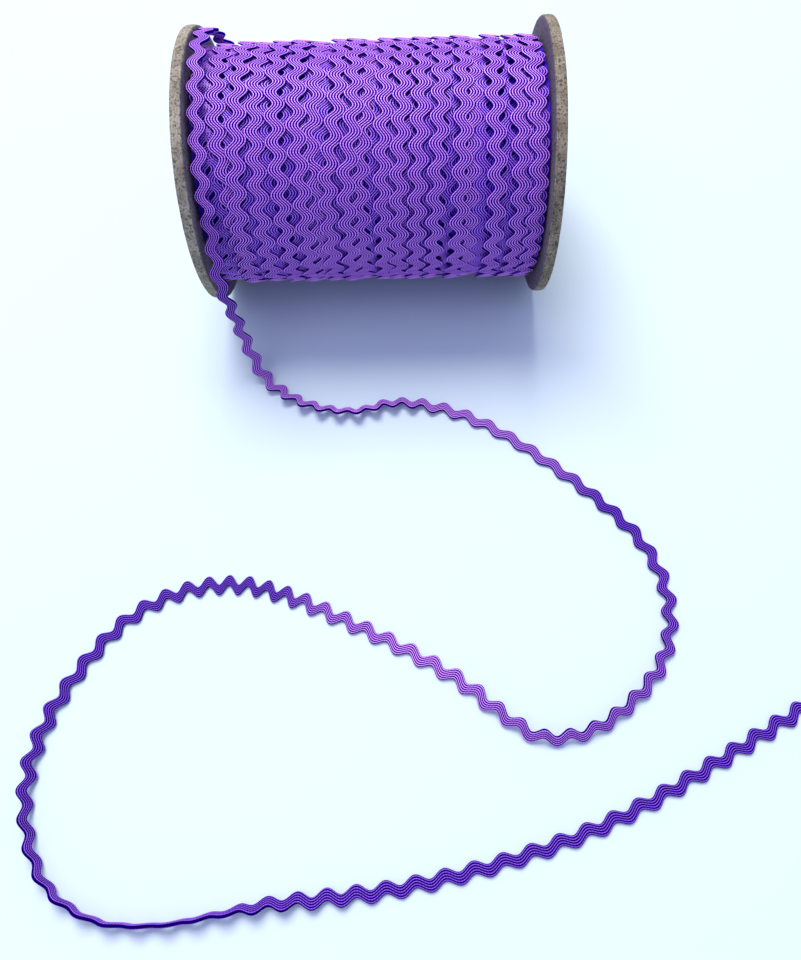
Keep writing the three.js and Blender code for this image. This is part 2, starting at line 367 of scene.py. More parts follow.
@dataclass
class BraidTree:
    """The geometry tree that sweeps the ribbed band of the braid along a line, in its sideways waves."""

    name: str = "ric_rac_band"
    edge_roundness: float = 6.0
    tree: bpy.types.NodeTree = field(init=False)

    def __post_init__(self) -> None:
        """Makes the tree once, with inputs named as in braid_sizes."""
        self.tree = bpy.data.node_groups.new(self.name, "GeometryNodeTree")
        face = self.tree.interface
        face.new_socket("Geometry", in_out="INPUT", socket_type="NodeSocketGeometry")
        for label, value in braid_sizes(BAND_WIDTH, BAND_THICKNESS, cord_depth=0.0, face=0, back=0).items():
            kind = "NodeSocketFloat" if isinstance(value, float) else "NodeSocketInt"
            face.new_socket(label, in_out="INPUT", socket_type=kind)
        face.new_socket("Material", in_out="INPUT", socket_type="NodeSocketMaterial")
        face.new_socket("Geometry", in_out="OUTPUT", socket_type="NodeSocketGeometry")
        self.link()

    def link(self) -> None:
        """Fills the tree: a line becomes a tube of rings, and each point is then set by the band's rule."""
        tree = self.tree
        given = add(tree, "NodeGroupInput").outputs
        kinds = dict.fromkeys((*RUN_UNITS, "ring_step"), "FLOAT")
        kinds |= dict.fromkeys((*FRAME_KEYS, "middle"), "FLOAT_VECTOR")
        held = {
            key: add(tree, "GeometryNodeInputNamedAttribute", {"Name": key}, data_type=kind).outputs[0]
            for key, kind in kinds.items()
        }

        # The line keeps its own points, and each ring of the tube keeps its steps.
        spot = add(tree, "GeometryNodeInputPosition").outputs[0]
        line = add(
            tree,
            "GeometryNodeStoreNamedAttribute",
            {"Geometry": given["Geometry"], "Name": "middle", "Value": spot},
            data_type="FLOAT_VECTOR",
            domain="POINT",
        ).outputs[0]
        line = add(tree, "GeometryNodeMeshToCurve", {"Mesh": line}).outputs[0]
        sides = math_chain(tree, given["Face Steps"], ("ADD", given["Back Steps"]))
        inputs = {"Resolution": sides, "Radius": MM}
        ring = add(tree, "GeometryNodeCurvePrimitiveCircle", inputs, mode="RADIUS").outputs[0]
        number = add(tree, "GeometryNodeInputIndex").outputs[0]
        marked = add(
            tree,
            "GeometryNodeStoreNamedAttribute",
            {"Geometry": ring, "Name": "ring_step", "Value": number},
            data_type="FLOAT",
            domain="POINT",
        ).outputs[0]
        inputs = {"Curve": line, "Profile Curve": marked, "Fill Caps": True}
        tube = add(tree, "GeometryNodeCurveToMesh", inputs).outputs[0]

        # Where a point lies across the band, from -1 to 1, on its face or on its back.
        step = held["ring_step"]
        on_face = math_chain(tree, step, ("LESS_THAN", given["Face Steps"]))
        on_back = math_chain(tree, 1.0, ("SUBTRACT", on_face))
        face_place = math_chain(tree, step, ("DIVIDE", given["Face Steps"]), ("MULTIPLY_ADD", -2.0, 1.0))
        back_step = math_chain(tree, step, ("SUBTRACT", given["Face Steps"]))
        back_place = math_chain(tree, back_step, ("DIVIDE", given["Back Steps"]), ("MULTIPLY_ADD", 2.0, -1.0))
        face_share = math_chain(tree, face_place, ("MULTIPLY", on_face))
        place = math_chain(tree, back_place, ("MULTIPLY_ADD", on_back, face_share))
        facing = math_chain(tree, on_face, ("MULTIPLY_ADD", 2.0, -1.0))
        share = math_chain(tree, place, ("MULTIPLY_ADD", 0.5, 0.5))

        # How thick the band is there: round at its edges, with a rib for each cord.
        bent = math_chain(tree, place, ("ABSOLUTE",), ("POWER", self.edge_roundness))
        edge = math_chain(tree, bent, ("MULTIPLY_ADD", -1.0, 1.0), ("POWER", 0.5))
        cord = math_chain(tree, share, ("MULTIPLY", given["Cords"]), ("MULTIPLY", math.pi))
        groove = math_chain(tree, cord, ("SINE",), ("ABSOLUTE",), ("MULTIPLY_ADD", -1.0, 1.0))
        rib = math_chain(tree, groove, ("MULTIPLY", given["Cord Depth"]), ("MULTIPLY_ADD", -1.0, 1.0))
        thick = math_chain(tree, edge, ("MULTIPLY", rib), ("MULTIPLY", given["Band Thickness"]))
        raised = math_chain(tree, thick, ("MULTIPLY", 0.5), ("MULTIPLY", facing))

        # The band swings to and fro, and its stitches lean over on the slopes.
        swing = held["swing"]
        phase = math_chain(tree, held["turns"], ("MULTIPLY", 2 * math.pi))
        rate = math_chain(tree, 2 * math.pi, ("DIVIDE", held["wave"]))
        lift = math_chain(tree, swing, ("MULTIPLY", rate))
        steep = math_chain(tree, phase, ("COSINE",), ("MULTIPLY", lift))
        half = math_chain(tree, given["Band Width"], ("MULTIPLY", 0.5))
        tight = math_chain(tree, lift, ("MULTIPLY", rate), ("MULTIPLY", half))
        limit = math_chain(tree, given["Edge Crowding"], ("DIVIDE", tight), ("MINIMUM", given["Edge Lean"]))
        slope = math_chain(tree, steep, ("MULTIPLY", steep), ("ADD", 1.0), ("SQRT",))
        lean = math_chain(tree, steep, ("DIVIDE", slope), ("MULTIPLY", limit))
        square = math_chain(tree, lean, ("MULTIPLY", lean), ("MULTIPLY_ADD", -1.0, 1.0), ("SQRT",))
        offset = math_chain(tree, place, ("MULTIPLY", half))
        swung = math_chain(tree, phase, ("SINE",), ("MULTIPLY", swing))
        aside = math_chain(tree, square, ("MULTIPLY", offset), ("ADD", swung))
        back = math_chain(tree, lean, ("MULTIPLY", offset), ("MULTIPLY", -1.0))
        point = held["middle"]
        for key, far in (("across", aside), ("along", back), ("up", raised)):
            inputs = {0: held[key], "Scale": far}
            moved = add(tree, "ShaderNodeVectorMath", inputs, operation="SCALE").outputs[0]
            point = add(tree, "ShaderNodeVectorMath", {0: point, 1: moved}, operation="ADD").outputs[0]

        # The braid's own map: waves run along it, 0 to 1 across.
        placed = add(tree, "GeometryNodeSetPosition", {"Geometry": tube, "Position": point}).outputs[0]
        flat = add(tree, "ShaderNodeCombineXYZ", {"X": held["turns"], "Y": share}).outputs[0]
        mapped = add(
            tree,
            "GeometryNodeStoreNamedAttribute",
            {"Geometry": placed, "Name": "UVMap", "Value": flat},
            data_type="FLOAT2",
            domain="CORNER",
        ).outputs[0]
        turned = add(tree, "GeometryNodeFlipFaces", {"Mesh": mapped}).outputs[0]
        inputs = {"Geometry": turned, "Shade Smooth": True}
        smooth = add(tree, "GeometryNodeSetShadeSmooth", inputs).outputs[0]
        whole = add(tree, "GeometryNodeRealizeInstances", {"Geometry": smooth}).outputs[0]
        inputs = {"Geometry": whole, "Material": given["Material"]}
        dressed = add(tree, "GeometryNodeSetMaterial", inputs).outputs[0]
        add(tree, "NodeGroupOutput", {"Geometry": dressed})

    def sweep(self, name: str, route: Route, material: bpy.types.Material, sizes: dict) -> bpy.types.Object:
        """Makes a plain mesh of the braid along a route.

        Args:
            name: the finished piece's name.
            route: the way that it takes.
            material: its material.
            sizes: the tree's inputs by name.

        Returns:
            The piece, at the origin, without a modifier.
        """
        line = route.line(name + "_line")
        modifier = line.modifiers.new("band", "NODES")
        modifier.node_group = self.tree
        ids = {
            item.name: item.identifier
            for item in self.tree.interface.items_tree
            if item.item_type == "SOCKET" and item.in_out == "INPUT"
        }
        for label, value in (sizes | {"Material": material}).items():
            modifier[ids[label]] = value
        line.update_tag()
        graph = bpy.context.evaluated_depsgraph_get()
        mesh = bpy.data.meshes.new_from_object(line.evaluated_get(graph))
        for key in (*FRAME_KEYS, *RUN_UNITS, "middle", "ring_step"):
            if key in mesh.attributes:
                mesh.attributes.remove(mesh.attributes[key])
        bpy.data.objects.remove(line)
        mesh.name = name
        piece = bpy.data.objects.new(name, mesh)
        bpy.context.scene.collection.objects.link(piece)
        log.info("%s: %d faces", name, len(mesh.polygons))
        return piece


@dataclass(frozen=True)
class DyedRayonWithPaintedLight:
    """Rayon braid, dyed, with a painted highlight on each cord's ridge and painted shade in the lines between.
    """

    name: str
    ridge: str
    body: str
    valley: str
    pale_ridge: str
    pale_body: str
    gloss: float = 1.0
    # Where the braid is painted paler, as painted light: waves from its start, and how pale from 0 to 1.
    painted_light: tuple[tuple[float, float], ...] = ()
    # How far from a cord's ridge, with 1 at its edge, its flank and the groove begin and end: the flank fades
    # the painted highlight into the body, and the groove brings in the painted shade.
    flank: tuple[float, float] = (0.2, 0.55)
    groove: tuple[float, float] = (0.35, 0.7)
    # How far a stitch runs on from one edge of a cord to the other, and how much it darkens the painted
    # highlight into dashes and stands out.
    stitch_slant: float = 0.8
    stitch_dip: float = 0.45
    stitch_relief: float = 0.6
    # Uneven dye in patches of about 11 mm.
    patches_per_metre: float = 90.0

    def material(self) -> bpy.types.Material:
        """Builds the material on the braid's own map: waves run along it, 0 to 1 across.

        Returns:
            The material.
        """
        made, tree, shader = new_material(self.name)
        run = add(tree, "ShaderNodeUVMap", uv_map="UVMap").outputs[0]
        split = add(tree, "ShaderNodeSeparateXYZ", {0: run}).outputs
        # The cords: 0.62 mm each on the loose braid and 0.75 mm on the roll, with a painted highlight on the
        # ridge and painted shade where two meet.
        cord = math_chain(tree, split["Y"], ("MULTIPLY", float(CORDS)))
        inside = math_chain(tree, cord, ("FRACT",), ("SUBTRACT", 0.5))
        off = math_chain(tree, inside, ("ABSOLUTE",), ("MULTIPLY", 2.0))
        flank, groove = (
            add(
                tree,
                "ShaderNodeMapRange",
                {"Value": off, "From Min": low, "From Max": high},
                interpolation_type="SMOOTHSTEP",
            ).outputs[0]
            for low, high in (self.flank, self.groove)
        )
        # The cross stitches, slanting the other way on each next cord. They are 0.4 mm apart and are
        # drawn at 0.65 mm, as they would be too fine to show.
        parity = math_chain(tree, cord, ("FLOOR",), ("MODULO", 2.0), ("MULTIPLY_ADD", 2.0, -1.0))
        slant = math_chain(tree, inside, ("MULTIPLY", parity), ("MULTIPLY", self.stitch_slant))
        run_on = math_chain(tree, split["X"], ("MULTIPLY_ADD", float(STITCHES_PER_WAVE), slant))
        wave = math_chain(tree, run_on, ("MULTIPLY", 2 * math.pi), ("SINE",))
        stitch = math_chain(tree, wave, ("MULTIPLY_ADD", 0.5, 0.5))
        # Where painted light is given along the braid, the thread is painted paler where it takes more light;
        # elsewhere the dye is a little uneven from place to place, which the eye reads as soft wear.
        if self.painted_light:
            pale = self.painted_light_along(tree, split["X"])
        else:
            place = add(tree, "ShaderNodeTexCoord").outputs["Object"]
            inputs = {"Vector": place, "Scale": self.patches_per_metre}
            pale = add(tree, "ShaderNodeTexNoise", inputs).outputs[0]
        dip = math_chain(tree, stitch, ("MULTIPLY", self.stitch_dip), ("ADD", flank), ("MINIMUM", 1.0))
        # The ridge colour is a painted highlight, faded into the body on the flank and broken into dashes by
        # the stitches.
        ridge, body = (
            add(
                tree,
                "ShaderNodeMix",
                {0: pale, MIX_FIRST: linear(full), MIX_SECOND: linear(faint)},
                data_type="RGBA",
            ).outputs[MIX_RESULT]
            for full, faint in ((self.ridge, self.pale_ridge), (self.body, self.pale_body))
        )
        inputs = {0: dip, MIX_FIRST: ridge, MIX_SECOND: body}
        thread = add(tree, "ShaderNodeMix", inputs, data_type="RGBA").outputs[MIX_RESULT]
        # The valley colour is painted shade in the lines between the cords.
        inputs = {0: groove, MIX_FIRST: thread, MIX_SECOND: linear(self.valley)}
        colour = add(tree, "ShaderNodeMix", inputs, data_type="RGBA").outputs[MIX_RESULT]
        relief = math_chain(tree, stitch, ("MULTIPLY", self.stitch_relief), ("SUBTRACT", flank))
        bump = add(tree, "ShaderNodeBump", {"Strength": 0.5, "Distance": 0.1 * MM, "Height": relief})
        gloss = math_chain(tree, dip, ("MULTIPLY_ADD", -self.gloss, self.gloss))
        tree.links.new(colour, shader.inputs["Base Color"])
        tree.links.new(bump.outputs[0], shader.inputs["Normal"])
        tree.links.new(gloss, shader.inputs["Specular IOR Level"])
        # Rayon is a smooth, bright thread, so each ridge takes a soft light.
        shader.inputs["Roughness"].default_value = 0.4
        return made

    def painted_light_along(self, tree: bpy.types.NodeTree, run: bpy.types.NodeSocket) -> bpy.types.NodeSocket:
        """How pale the thread is painted along the braid, for the light it takes.

        Args:
            tree: the material's tree.
            run: waves from the braid's start.

        Returns:
            From 0 to 1.
        """
        reach = self.painted_light[-1][0]
        ramp = add(tree, "ShaderNodeValToRGB", {0: math_chain(tree, run, ("DIVIDE", reach))})
        ramp.color_ramp.interpolation = "EASE"
        while len(ramp.color_ramp.elements) < len(self.painted_light):
            ramp.color_ramp.elements.new(0.5)
        for element, (place, pale) in zip(ramp.color_ramp.elements, self.painted_light):
            element.position = place / reach
            element.color = (pale, pale, pale, 1.0)
        return ramp.outputs[0]


@dataclass(frozen=True)
class GreyBoard:
    """Pressed greyboard: matt, flecked with fibres, its plies showing as lines round the worn rim."""

    name: str
    pale: str
    dark: str
    speck: str
    seed: float
    # The violet grey painted on the inner face as shade.
    painted_inner_shade: str = "#5c526c"
    # Clouds of about 4 mm and flecks of about 0.6 mm, each with finer ones in it.
    clouds_per_metre: float = 260.0
    flecks_per_metre: float = 1700.0
    # The plies, in mm: the distance from one line to the next, and how far a line wanders round the rim.
    ply: float = 0.9
    drift: float = 0.9
    # How far inside the rim's radius the plies begin to show and show in full, and how deep in the board, from
    # its inner face, the painted shade goes, in mm.
    rim_fade: tuple[float, float] = (0.6, 0.1)
    shade_depth: float = 0.2
    # The noise values between which the clouds and the flecks come up.
    cloud_range: tuple[float, float] = (0.35, 0.65)
    fleck_range: tuple[float, float] = (0.5, 0.62)
    # How strongly the painted shade, the lines and the flecks cover the board's own colour.
    shade_share: float = 0.7
    line_share: float = 0.2
    fleck_share: float = 0.8

    def material(self) -> bpy.types.Material:
        """Builds the material on Object coordinates, with the rim told from the faces by its radius.

        Returns:
            The material.
        """
        made, tree, shader = new_material(self.name)
        place = add(tree, "ShaderNodeTexCoord").outputs["Object"]
        inputs = {"Vector": place, "Location": (self.seed, self.seed, 0.0)}
        moved = add(tree, "ShaderNodeMapping", inputs).outputs[0]
        split = add(tree, "ShaderNodeSeparateXYZ", {0: place}).outputs
        cloud, fleck = (
            add(tree, "ShaderNodeTexNoise", {"Vector": moved, "Scale": scale, "Detail": detail}).outputs[0]
            for scale, detail in ((self.clouds_per_metre, 4.0), (self.flecks_per_metre, 3.0))
        )
        drift = math_chain(tree, cloud, ("MULTIPLY", self.drift * MM), ("ADD", split["X"]))
        ply = math_chain(tree, drift, ("MULTIPLY", 2 * math.pi / (self.ply * MM)), ("SINE",))
        raised = math_chain(tree, split["Z"], ("SUBTRACT", AXIS_HEIGHT * MM))
        flat = add(tree, "ShaderNodeCombineXYZ", {"Y": split["Y"], "Z": raised}).outputs[0]
        radius = add(tree, "ShaderNodeVectorMath", {0: flat}, operation="LENGTH").outputs["Value"]
        rim_range = tuple((FLANGE_RADIUS - depth) * MM for depth in self.rim_fade)
        ranges = ((radius, rim_range), (cloud, self.cloud_range), (fleck, self.fleck_range))
        rim, tone, dots = (
            add(tree, "ShaderNodeMapRange", {"Value": value, "From Min": low, "From Max": high}).outputs[0]
            for value, (low, high) in ranges
        )
        thin = math_chain(tree, ply, ("MULTIPLY_ADD", 0.5, 0.5), ("POWER", 4.0))
        lines = math_chain(tree, thin, ("MULTIPLY", rim), ("MULTIPLY", self.line_share))
        marks = math_chain(tree, dots, ("MULTIPLY", self.fleck_share), ("MAXIMUM", lines))
        # The inner face is painted a darker violet grey: painted shade where it faces the winding, tinted
        # violet like the light off the braid.
        deepest = (FLANGE_INNER + self.shade_depth) * MM
        inner = math_chain(tree, split["X"], ("ABSOLUTE",), ("LESS_THAN", deepest))
        inner_shade = math_chain(tree, inner, ("MULTIPLY", self.shade_share))
        colour = linear(self.pale)
        for share, over in ((tone, self.dark), (inner_shade, self.painted_inner_shade), (marks, self.speck)):
            inputs = {0: share, MIX_FIRST: colour, MIX_SECOND: linear(over)}
            colour = add(tree, "ShaderNodeMix", inputs, data_type="RGBA").outputs[MIX_RESULT]
        rough = math_chain(tree, lines, ("MULTIPLY", -1.0), ("MULTIPLY_ADD", 1.0, fleck))
        bump = add(tree, "ShaderNodeBump", {"Strength": 0.7, "Distance": 0.15 * MM, "Height": rough})
        tree.links.new(colour, shader.inputs["Base Color"])
        tree.links.new(bump.outputs[0], shader.inputs["Normal"])
        # Uncoated board is rough paper, with hardly any light on it.
        shader.inputs["Roughness"].default_value = 0.88
        shader.inputs["Specular IOR Level"].default_value = 0.3
        return made


@dataclass(frozen=True)
class PaleTable:
    """Matt white laminate: an even, very pale surface with a hint of blue."""

    name: str = "white_laminate"
    colour: str = "#c4d6da"
    cloud: str = "#bfd4d7"
    # Clouds of about 250 mm.
    clouds_per_metre: float = 4.0

    def material(self) -> bpy.types.Material:
        """Builds the material.

        Returns:
            The material.
        """
        made, tree, shader = new_material(self.name)
        place = add(tree, "ShaderNodeTexCoord").outputs["Object"]
        inputs = {"Vector": place, "Scale": self.clouds_per_metre}
        cloud = add(tree, "ShaderNodeTexNoise", inputs).outputs[0]
        inputs = {0: cloud, MIX_FIRST: linear(self.colour), MIX_SECOND: linear(self.cloud)}
        colour = add(tree, "ShaderNodeMix", inputs, data_type="RGBA").outputs[MIX_RESULT]
        tree.links.new(colour, shader.inputs["Base Color"])
        shader.inputs["Roughness"].default_value = 0.7
        return made


@dataclass
class Flange:
    """One greyboard disc, with a worn rim of plies, standing on its small flat."""

    side: Side
    finish: GreyBoard
    seed: int
    steps: int = 288
    # The worn rim, in mm: where it begins, how far it wanders in and out, how deep it is chipped at its two
    # edges and between them, and how near the faces an edge begins.
    rim_start: float = 36.0
    wander: float = 0.05
    edge_chips: float = 0.7
    ply_chips: float = 0.15
    edge_depth: float = 0.5
    # How much of the random line has to stand out before it is a chip.
    chip_threshold: float = 0.35
    # The fewest and most bumps round the rim, of its wander and of its chips.
    wander_bumps: tuple[int, int] = (3, 60)
    chip_bumps: tuple[int, int] = (5, 90)

    # The section from the middle of the inner face over the rim to that of the outer one: radius, depth.
    PROFILE = (
        (0, 0), (12, 0), (24, 0), (32, 0), (35.5, 0), (36.8, 0), (37.4, 0.04), (37.8, 0.17), (38.0, 0.4),
        (38.05, 0.66), (37.93, 0.8), (38.05, 0.94), (38.08, 1.2), (37.94, 1.36), (38.08, 1.52), (38.1, 1.8),
        (37.93, 1.96), (38.06, 2.12), (38.06, 2.4), (37.93, 2.54), (38.0, 2.7), (37.9, 2.95), (37.6, 3.1),
        (37.2, 3.17), (36.6, 3.2), (35.0, 3.2), (32, 3.2), (24, 3.2), (12, 3.2), (0, 3.2),
    )

    def wear(self, rng: np.random.Generator, low: int, high: int) -> np.ndarray:
        """A smooth random line round the rim, between -1 and 1.

        Args:
            rng: the source of its random numbers.
            low: the fewest bumps round the rim.
            high: the most.

        Returns:
            One value a step.
        """
        angle = np.linspace(0, 2 * math.pi, self.steps, endpoint=False)
        line = sum(
            np.sin(n * angle + rng.uniform(0, 2 * math.pi)) * rng.normal() / math.sqrt(n)
            for n in range(low, high)
        )
        return line / np.abs(line).max()

    def build(self) -> bpy.types.Object:
        """Makes the disc in its place.

        Returns:
            The finished piece.
        """
        rng = np.random.default_rng(self.seed)
        angle = np.linspace(0, 2 * math.pi, self.steps, endpoint=False)
        rings = []
        for radius, depth in self.PROFILE[1:-1]:
            worn = self.wander * self.wear(rng, *self.wander_bumps)
            at_edge = min(depth, FLANGE_THICKNESS - depth) < self.edge_depth
            chip = self.edge_chips if at_edge and radius > self.rim_start else self.ply_chips
            chips = np.clip(self.wear(rng, *self.chip_bumps) - self.chip_threshold, 0, 1) * chip
            out = radius + (worn - chips if radius > self.rim_start else 0 * worn)
            y, z = out * np.cos(angle), AXIS_HEIGHT + out * np.sin(angle)
            x = np.full_like(y, FLANGE_INNER + depth) * self.side.value
            rings.append(np.stack([x, y, np.maximum(z, 0)], axis=-1))
        depths = (FLANGE_INNER, FLANGE_INNER + FLANGE_THICKNESS)
        poles = [(self.side.value * depth, 0, AXIS_HEIGHT) for depth in depths]
        faces = closed_rings(len(rings), self.steps)
        if self.side is Side.LEFT:
            faces = [face[::-1] for face in faces]
        name = "flange_" + self.side.name.lower()
        piece = mesh_object(name + "_board", np.concatenate([*rings, poles]) * MM, faces)
        piece.data.polygons.foreach_set("use_smooth", [True] * len(faces))
        piece.data.materials.append(self.finish.material())
        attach(piece, "root")
        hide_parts(name)
        log.info("%s: %d faces", piece.name, len(faces))
        return piece


@dataclass
class Winding:
    """The wound braid: a top layer that follows its own turns, two layers under it and the form beneath."""

    braid: BraidTree
    # The band on the roll, in mm: how far it swings, its width and its thickness, then its lean in degrees.
    swing: float = 1.12
    width: float = 3.75
    thickness: float = 0.9
    tilt: float = 6.0
    # A wave's share of a turn in degrees, and the waves from the braid's end to the first crest.
    wave_degrees: float = 11.63
    first_wave: float = 40.75
    # The radius of the top layer's middle, and how deep each next layer lies under it, in mm.
    top_middle: float = 32.95
    layer_step: float = 1.05
    # Where the braid starts and ends round the back, in degrees from the top of its first and last turn.
    run_in: float = -160.0
    run_out: float = 262.0
    # Where the top layer goes over into the last turn: how far it comes over, and how far at least, in mm.
    last_move: float = 1.6
    last_x: float = -38.6
    # How far the outermost turns of the second layer are lifted, in mm.
    outer_lift: float = 0.3
    # How far the waves of the deeper layers are off from those over them, in degrees.
    second_shift: float = 4.0
    third_shift: float = 5.0
    # The top layer is cut into pieces of so many turns, counted with some spare ones for its two ends.
    turns_per_piece: int = 6
    spare_turns: float = 0.7
    # How deep the braid is grooved, as a share of its thickness, its steps to each wave, and those across its
    # face and its back.
    cord_depth: float = 0.7
    top_steps: int = 16
    top_sides: tuple[int, int] = (20, 4)
    deeper_steps: tuple[int, int] = (10, 8)
    deeper_sides: tuple[int, int] = (10, 2)
    # The form beneath: layers over it, the depth of its grooves in mm and their turn in radians a mm, its
    # sides, its rings and the gap to the flanges in mm.
    form_layers: float = 2.4
    form_groove: float = 0.3
    form_pitch: float = 1.2
    form_sides: int = 72
    form_rings: int = 160
    form_gap: float = 0.1

    def rows(self, depth: Depth) -> list[tuple[float, ...]]:
        """The turns of a layer, from the right flange to the left one.

        Args:
            depth: which layer.

        Returns:
            Rows as in TOP_TURNS. The second layer lies in the gaps of the top one, the third under its turns,
            and the waves of both are a few degrees off, as they fall in a real winding.
        """
        if depth is Depth.TOP:
            return TOP_TURNS
        if depth is Depth.THIRD:
            return [(high, mid, low, crest + self.third_shift, 0.0) for high, mid, low, crest, _ in TOP_TURNS]
        edge = FLANGE_INNER - CLEARANCE - self.swing - self.width / 2
        outer = [(edge, edge, edge, TOP_TURNS[0][3] + self.wave_degrees / 2, self.outer_lift)]
        pairs = zip(TOP_TURNS[:-1], TOP_TURNS[1:])
        between = [tuple((a + b) / 2 for a, b in zip(right[:4], left[:4])) for right, left in pairs]
        shifts = [self.second_shift * math.sin(5.0 * number) for number in range(len(between))]
        sunk = [(*row[:3], row[3] + shift, 0.0) for row, shift in zip(between, shifts)]
        last = TOP_TURNS[-1]
        beside = tuple((x - edge) / 2 for x in last[:3]) + (last[3] - self.second_shift, 0.1)
        return outer + sunk + [beside, (-edge, -edge, -edge, last[3], self.outer_lift)]

    def layer_route(self, depth: Depth, steps: int) -> Route:
        """A layer's way from the right flange to the left one.

        Args:
            depth: which layer.
            steps: how many to each wave.

        Returns:
            The route.
        """
        rows = self.rows(depth)
        spots, xs, lifts, crests = [], [], [], []
        for row, (*places, crest, lift) in enumerate(rows):
            start = row * FULL_TURN + 90
            spots += [start - angle for angle in ROW_ANGLES]
            xs += places
            lifts += [lift] * len(places)
            crests.append(start - crest)
        ends = (self.run_in, (len(rows) - 1) * FULL_TURN + self.run_out)
        knots = np.array([ends[0], *spots, ends[1]])
        last = min(xs[-1] + self.last_move, self.last_x) if depth is Depth.TOP else xs[-1]
        xs = np.array([xs[0], *xs, last])
        lifts = np.array([lifts[0], *lifts, 0.0])
        counts = np.round(np.diff(crests) / self.wave_degrees)
        waves = self.first_wave + np.concatenate([[0], np.cumsum(counts)])
        first = waves[0] - (crests[0] - ends[0]) / self.wave_degrees
        last = waves[-1] + (ends[1] - crests[-1]) / self.wave_degrees
        turns = np.arange(first, last, 1 / steps)
        spun = np.interp(turns, [first, *waves, last], [ends[0], *crests, ends[1]])
        radius = self.top_middle - self.layer_step * depth.value + level_curve(spun, knots, lifts)
        return self.helix(spun, turns, level_curve(spun, knots, xs), radius)

    def helix(self, spun: np.ndarray, turns: np.ndarray, x: np.ndarray, radius: np.ndarray) -> Route:
        """A route round the spool from how far it has turned, its x and its radius.

        Args:
            spun: degrees turned down the front, with 0 at the top.
            turns: waves run so far.
            x: the middle's x at each step.
            radius: the middle's distance from the axis.

        Returns:
            The route, with its frames.
        """
        away = outward(90 - spun)
        middle = away * radius[:, None] + np.stack([x, 0 * x, 0 * x + AXIS_HEIGHT], axis=-1)
        along = unit(np.gradient(middle, axis=0))
        across = unit(np.cross(along, away))
        up = np.cross(across, along)
        cos, sin = math.cos(math.radians(self.tilt)), math.sin(math.radians(self.tilt))
        across, up = across * cos + up * sin, up * cos - across * sin
        wave = radius * np.radians(np.gradient(spun, turns))
        return Route(middle, along, across, up, turns, wave, np.full_like(turns, self.swing))

    def build(self) -> list[bpy.types.Object]:
        """Makes the layers and the form beneath.

        Returns:
            The finished pieces.
        """
        top = self.layer_route(Depth.TOP, self.top_steps)
        sizes = braid_sizes(self.width, self.thickness, self.cord_depth, *self.top_sides)
        finish = DyedRayonWithPaintedLight("rayon_braid_wound", *VIOLET).material()
        pieces = []
        share = self.turns_per_piece / (len(TOP_TURNS) + self.spare_turns)
        length = int((top.turns[-1] - top.turns[0]) * share) * self.top_steps
        for number, first in enumerate(range(0, len(top.turns) - self.top_steps, length)):
            part = top.part(first, first + length + 1)
            pieces.append(self.braid.sweep(f"wound_braid_{number + 1}", part, finish, sizes))
        # The deeper layers show only in the gaps, so they are coarser. Their colours are darker and bluer
        # copies of the top layer's, painted shade for the less and bluer light that reaches them.
        deeper = {
            Depth.SECOND: ("#d888ff", "#4c0cb8", "#0c0088", "#c478fc", "#440ab0"),
            Depth.THIRD: ("#8848f8", "#400cc0", "#2000a8", "#8444f4", "#4010c0"),
        }
        coarse = braid_sizes(self.width, self.thickness, self.cord_depth, *self.deeper_sides)
        for (depth, shades), steps in zip(deeper.items(), self.deeper_steps):
            shaded_finish = DyedRayonWithPaintedLight("rayon_braid_" + depth.name.lower(), *shades).material()
            name = "wound_layer_" + depth.name.lower()
            pieces.append(self.braid.sweep(name, self.layer_route(depth, steps), shaded_finish, coarse))
        pieces.append(self.form())
        for piece in pieces:
            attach(piece, "root")
            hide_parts("winding")
        return pieces

    def form(self) -> bpy.types.Object:
        """Makes the closed form of the deeper layers, grooved between their turns.

        Returns:
            The finished piece.
        """
        reach = FLANGE_INNER - self.form_gap
        angle = np.linspace(0, FULL_TURN, self.form_sides, endpoint=False)
        away = outward(-angle)
        rows = []
        for x in np.linspace(-reach, reach, self.form_rings):
            groove = self.form_groove * np.cos(np.radians(angle) + x * self.form_pitch)
            radius = self.top_middle - self.form_layers * self.layer_step + groove
            rows.append(away * radius[:, None] + np.array([x, 0, AXIS_HEIGHT]))
        points = np.concatenate([*rows, [(-reach, 0, AXIS_HEIGHT), (reach, 0, AXIS_HEIGHT)]])
        faces = closed_rings(self.form_rings, self.form_sides)
        piece = mesh_object("wound_form", points * MM, faces)
        # An empty map: the form is one even colour, a saturated blue painted for the blue shade deep in the
        # winding.
        piece.data.uv_layers.new(name="UVMap")
        piece.data.polygons.foreach_set("use_smooth", [True] * len(faces))
        shades = ("#5018f0", "#4810e4", "#3c08d0", "#5018f0", "#4810e4")
        piece.data.materials.append(DyedRayonWithPaintedLight("rayon_braid_depth", *shades).material())
        log.info("%s: %d faces", piece.name, len(faces))
        return piece


